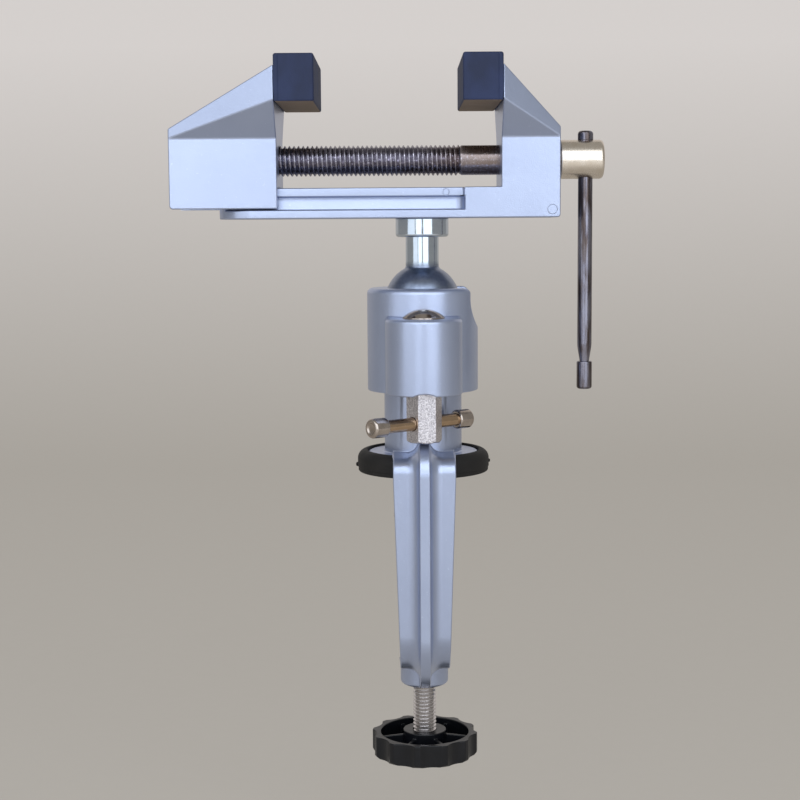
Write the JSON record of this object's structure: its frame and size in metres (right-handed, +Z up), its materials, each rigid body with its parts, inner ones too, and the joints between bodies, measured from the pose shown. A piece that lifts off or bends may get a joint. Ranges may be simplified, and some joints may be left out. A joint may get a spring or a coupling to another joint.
{
  "type": "ball vise",
  "caption": "Small bench vise on a lockable ball joint, with a screw clamp for a table edge, rubber-sleeved flared jaws and a sliding T-bar.",
  "frame": {"origin": "centre of the rubber foot's underside, which rests on the table top", "axes": "+Z up along the column, +X from the moving jaw to the fixed jaw along the lead screw, -Y towards the lock and the clamp's arm"},
  "size_m": [0.1414, 0.0655, 0.2336],
  "materials": {
    "cast_silver": "satin silver casting, lightly textured",
    "chrome": "polished chrome plate",
    "dark_nickel": "nickel plate over turned steel",
    "zinc_plate": "bright zinc plate with a grainy surface",
    "bright_steel": "bright turned steel",
    "black_rubber": "moulded black rubber",
    "jaw_rubber": "moulded dark blue-black rubber",
    "knob_plastic": "semi-gloss black moulded plastic",
    "seat_plastic": "natural nylon"
  },
  "bodies": {
    "clamp": {"clamp_body": "cast_silver", "foot_pad": "black_rubber", "lock_washer": "zinc_plate"},
    "ball_cap": {"ball_housing": "cast_silver", "lock_bolt": "dark_nickel"},
    "lock_nut": {"lock_nut": "zinc_plate"},
    "lock_bar": {"lock_bar": "dark_nickel", "lock_bar_cap_left": "dark_nickel", "lock_bar_cap_right": "dark_nickel"},
    "ball_seat": {"ball_seat": "seat_plastic"},
    "ball": {"ball_stud": "chrome", "stud_clip": "bright_steel"},
    "vise": {"vise_bed": "cast_silver", "fixed_jaw_sleeve": "jaw_rubber", "lead_screw_pin": "bright_steel"},
    "moving_jaw": {"moving_jaw": "cast_silver", "moving_jaw_sleeve": "jaw_rubber"},
    "lead_screw": {"lead_screw": "dark_nickel", "lead_screw_washer": "dark_nickel"},
    "screw_bar": {"screw_bar": "dark_nickel", "screw_bar_tip": "dark_nickel"},
    "pressure_plate": {"pressure_plate": "bright_steel", "pressure_pad": "black_rubber"},
    "clamp_screw": {"clamp_screw": "bright_steel", "clamp_knob": "knob_plastic", "knob_insert": "bright_steel"}
  },
  "joints": [
    {"name": "lock_nut_turn", "type": "hinge", "parent": "clamp", "child": "lock_nut", "pos_m": [0, -0.0253, 0.02], "axis": [0, 0, 1], "range_deg": [-88.1, 0]},
    {"name": "ball_cap_lift", "type": "slide", "parent": "clamp", "child": "ball_cap", "axis": [0, 0, 1], "range_m": [0, 0.0002444]},
    {"name": "lock_bar_slide", "type": "slide", "parent": "lock_nut", "child": "lock_bar", "axis": [0.766, 0.6428, 0], "range_m": [-0.0081, 0.0109]},
    {"name": "ball_azimuth", "type": "hinge", "parent": "clamp", "child": "ball_seat", "pos_m": [0, 0, 0.0565], "axis": [0, 0, 1], "continuous": true},
    {"name": "ball_tilt", "type": "hinge", "parent": "ball_seat", "child": "ball", "pos_m": [0, 0, 0.0565], "axis": [0, 1, 0], "range_deg": [-36, 36]},
    {"name": "head_turn", "type": "hinge", "parent": "ball", "child": "vise", "pos_m": [0, 0, 0.0565], "axis": [0, 0, 1], "continuous": true},
    {"name": "lead_screw_turn", "type": "hinge", "parent": "vise", "child": "lead_screw", "pos_m": [0.035, 0, 0.103], "axis": [1, 0, 0], "range_deg": [-11161, 0]},
    {"name": "jaw_slide", "type": "slide", "parent": "vise", "child": "moving_jaw", "axis": [1, 0, 0], "range_m": [0, 0.0465]},
    {"name": "screw_bar_slide", "type": "slide", "parent": "lead_screw", "child": "screw_bar", "axis": [0, 0, 1], "range_m": [0, 0.06]},
    {"name": "clamp_pad_lift", "type": "slide", "parent": "clamp", "child": "pressure_plate", "axis": [0, 0, 1], "range_m": [-0.0362, 0.0122]},
    {"name": "clamp_screw_turn", "type": "hinge", "parent": "pressure_plate", "child": "clamp_screw", "pos_m": [0, 0, -0.05], "axis": [0, 0, 1], "range_deg": [-10426.6, 3514.6]}
  ],
  "couplings": [
    {"joint": "lock_nut_turn", "follows": "ball_cap_lift", "rad_per_m": -6283.2},
    {"joint": "lead_screw_turn", "follows": "jaw_slide", "rad_per_m": -4188.8},
    {"joint": "clamp_screw_turn", "follows": "clamp_pad_lift", "rad_per_m": 5026.5}
  ]
}
